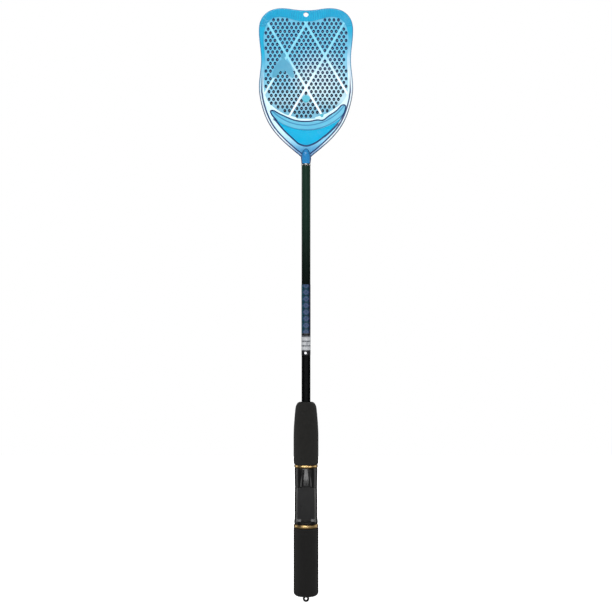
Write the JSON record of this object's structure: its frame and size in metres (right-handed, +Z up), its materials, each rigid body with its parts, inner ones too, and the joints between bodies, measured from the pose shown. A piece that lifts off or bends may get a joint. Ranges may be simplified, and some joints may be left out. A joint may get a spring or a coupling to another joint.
{
  "type": "fly swatter on a fishing-rod handle",
  "caption": "Fly swatter: perforated translucent plastic paddle on a rod shaft, foam grips, and a reel seat whose foregrip unscrews to slide its hood.",
  "frame": {"origin": "centre of the hole in the hanging eye at the butt, on the shaft's axis", "axes": "+Z up the shaft to the paddle, as it hangs; -Y out of the striking face with the raised ribs; +X to the right seen from the front"},
  "size_m": [0.1056, 0.0291, 0.6649],
  "materials": {
    "blue_plastic": "translucent, glossy",
    "bright_metal": "polished",
    "rod_glass": "clear-coated, dark green-black",
    "label_film": "printed film",
    "seat_plastic": "glossy black",
    "nut_plastic": "matte black",
    "gold_trim": "polished",
    "spring_steel": "satin",
    "dark_steel": "blackened",
    "grip_foam": "fine-pored EVA foam",
    "arbor_foam": "rigid foam bush",
    "plug_wood": "plain"
  },
  "bodies": {
    "handle": {"reel_seat": "seat_plastic", "rod_blank": "rod_glass", "swatter_head": "blue_plastic", "tip_ring": "bright_metal", "shaft_label": "label_film", "lower_trim_ring": "gold_trim", "rear_grip_foam": "grip_foam", "front_arbor": "arbor_foam", "rear_arbor": "arbor_foam", "butt_plug": "plug_wood", "screw_eye": "dark_steel"},
    "hood": {"moving_hood": "seat_plastic", "upper_trim_ring": "gold_trim", "snap_ring": "spring_steel"},
    "foregrip": {"foregrip_foam": "grip_foam", "lock_nut": "nut_plastic"}
  },
  "joints": [
    {"name": "hood_slide", "type": "slide", "parent": "handle", "child": "hood", "axis": [0, 0, 1], "range_m": [0, 0.014]},
    {"name": "foregrip_turn", "type": "hinge", "parent": "hood", "child": "foregrip", "pos_m": [0, 0, 0.16], "axis": [0, 0, 1], "range_deg": [0, 2520]}
  ],
  "couplings": [
    {"joint": "foregrip_turn", "follows": "hood_slide", "rad_per_m": 3141.6}
  ]
}
